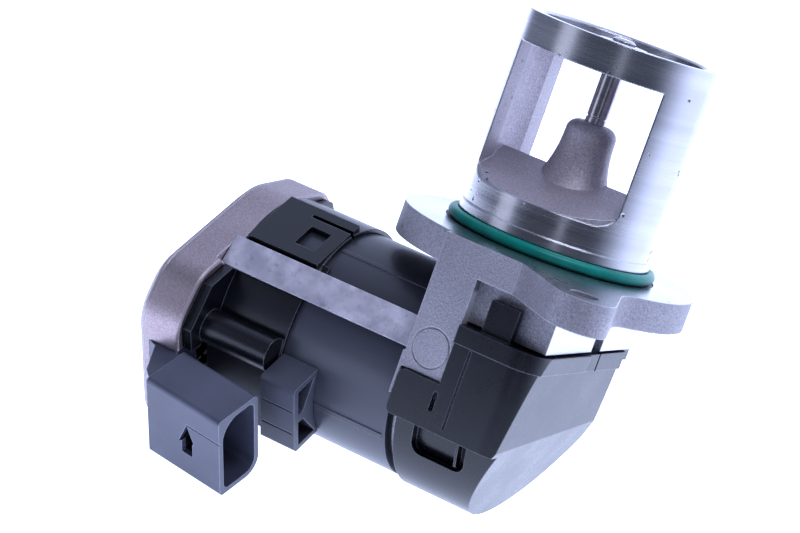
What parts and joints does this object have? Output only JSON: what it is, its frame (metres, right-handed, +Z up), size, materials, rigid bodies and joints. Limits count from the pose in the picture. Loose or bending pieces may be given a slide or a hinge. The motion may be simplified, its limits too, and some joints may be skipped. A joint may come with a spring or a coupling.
{
  "type": "exhaust gas recirculation valve",
  "caption": "Motor-driven exhaust gas valve: windowed flanged cage with a lifting poppet, gear cover, side motor with cast end cap, and a plug socket.",
  "frame": {"origin": "centre of the two flange bolt holes on the flange's machined face, which is also the valve's axis", "axes": "+Z up the cage along the poppet's travel, -X along the motor towards its end cap, -Y towards the connector's side"},
  "size_m": [0.1186, 0.1178, 0.1374],
  "materials": {
    "cast_aluminium": "rough sand-cast, machined on the cage and flange face",
    "seat_steel": "turned",
    "poppet_steel": "turned, slightly dull",
    "bright_steel": "ground",
    "gear_steel": "sintered",
    "bronze": "sintered bronze",
    "spring_steel": "drawn wire",
    "seal_green": "smooth moulded",
    "seal_black": "matt",
    "gear_plastic": "moulded",
    "brass": "machined",
    "core_steel": "stacked laminations",
    "copper": "enamelled wire",
    "magnet": "sintered ferrite",
    "can_steel": "dark coated steel",
    "carbon": "pressed carbon",
    "black_plastic": "moulded, semi-gloss",
    "grey_plastic": "moulded, satin",
    "strap_steel": "rolled strip",
    "board": "coated laminate",
    "contact": "plated"
  },
  "bodies": {
    "housing": {"valve_housing": "cast_aluminium", "seat_ring": "seat_steel", "stem_bush": "bronze", "stem_seal": "seal_black", "o_ring": "seal_green", "crank_bushes": "bronze", "idler_pin": "bright_steel", "motor_can": "can_steel", "field_magnets": "magnet", "front_bearing": "bronze", "rear_bearing": "bronze", "brush_holder": "gear_plastic", "brushes": "carbon", "brush_springs": "spring_steel", "motor_gasket": "seal_black", "motor_collar": "black_plastic", "terminal_block": "grey_plastic", "clamp_straps": "strap_steel", "end_cap": "cast_aluminium", "sensor_board": "board", "connector_housing": "black_plastic", "connector_pins": "contact", "gear_cover": "black_plastic", "cover_seal": "seal_black"},
    "valve": {"valve_disc": "poppet_steel", "valve_stem": "bright_steel", "stem_yoke": "gear_steel"},
    "crank": {"crank_shaft": "bright_steel", "crank_pin": "bright_steel", "sector_gear": "gear_steel", "return_spring": "spring_steel"},
    "idler": {"idler_pinion": "gear_steel", "idler_wheel": "gear_plastic"},
    "armature": {"motor_pinion": "brass", "motor_shaft": "bright_steel", "armature_core": "core_steel", "armature_windings": "copper", "commutator": "copper", "sensor_magnet": "magnet"}
  },
  "joints": [
    {"name": "crank_turn", "type": "hinge", "parent": "housing", "child": "crank", "pos_m": [0.005, -0.009, -0.02], "axis": [1, 0, 0], "range_deg": [0, 45.77], "stiffness_Nm_per_rad": 0.05, "springref_deg": -34.38, "deforming": ["return_spring"]},
    {"name": "valve_lift", "type": "slide", "parent": "housing", "child": "valve", "axis": [0, 0, 1], "range_m": [0, 0.00701]},
    {"name": "idler_turn", "type": "hinge", "parent": "housing", "child": "idler", "pos_m": [0.005, -0.02245, -0.0369], "axis": [1, 0, 0], "range_deg": [-160.7, 0]},
    {"name": "motor_turn", "type": "hinge", "parent": "housing", "child": "armature", "pos_m": [0.005, -0.009, -0.04], "axis": [1, 0, 0], "range_deg": [0, 454.39]}
  ],
  "couplings": [
    {"joint": "valve_lift", "follows": "crank_turn", "m_per_rad": 0.0087626},
    {"joint": "idler_turn", "follows": "crank_turn", "ratio": -3.5},
    {"joint": "motor_turn", "follows": "crank_turn", "ratio": 9.9167}
  ]
}
